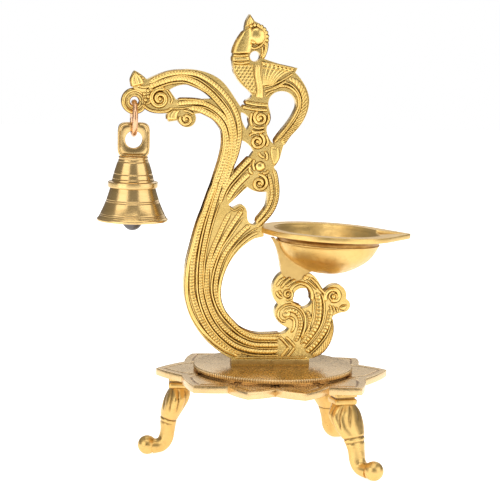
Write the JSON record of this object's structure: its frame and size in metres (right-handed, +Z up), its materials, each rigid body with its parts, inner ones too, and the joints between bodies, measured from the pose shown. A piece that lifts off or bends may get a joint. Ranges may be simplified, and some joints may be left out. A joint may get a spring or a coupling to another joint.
{
  "type": "standing oil lamp",
  "caption": "Brass standing oil lamp: spouted oil cup on an openwork bird scroll, lotus plate on cabriole legs, and a hanging bell with a swinging clapper.",
  "frame": {"origin": "middle of the footprint box of the whole lamp, on the table", "axes": "+Z up, +X towards the cup's spout, the scroll lies in the XZ plane, -Y is the front"},
  "size_m": [0.2082, 0.1532, 0.2912],
  "materials": {
    "polished_brass": "buffed bright, slightly clouded",
    "cast_brass": "cast and filed, satin, brown in the grooves",
    "relief_brass": "cast and chased relief, bright on the ridges, brown in the recesses",
    "satin_brass": "turned and rubbed satin",
    "copper_brass": "drawn wire, reddish",
    "bell_bronze": "turned and highly polished, cast loop dull",
    "steel": "plain steel",
    "iron": "dark, rough iron"
  },
  "bodies": {
    "stand": {"lotus_plate": "polished_brass", "seat_disc": "polished_brass", "leg_left": "cast_brass", "leg_right": "cast_brass", "leg_back": "cast_brass", "leg_studs": "steel", "scroll_panel": "relief_brass", "panel_screws": "steel", "panel_washers": "steel", "cup_stem": "satin_brass", "oil_cup": "satin_brass"},
    "ring": {"hanging_ring": "copper_brass"},
    "bell": {"bell_body": "bell_bronze", "clapper_staple": "steel"},
    "clapper": {"clapper_rod": "iron", "clapper_ball": "iron"}
  },
  "joints": [
    {"name": "ring_swing", "type": "hinge", "parent": "stand", "child": "ring", "pos_m": [-0.08106, -0.00019, 0.2342], "axis": [0, 1, 0], "range_deg": [-15, 35]},
    {"name": "bell_swing", "type": "hinge", "parent": "ring", "child": "bell", "pos_m": [-0.08106, -0.00019, 0.22312], "axis": [1, 0, 0], "range_deg": [-40, 40]},
    {"name": "clapper_swing", "type": "hinge", "parent": "bell", "child": "clapper", "pos_m": [-0.08106, -0.00019, 0.19195], "axis": [0, 1, 0], "range_deg": [-18, 18]}
  ]
}
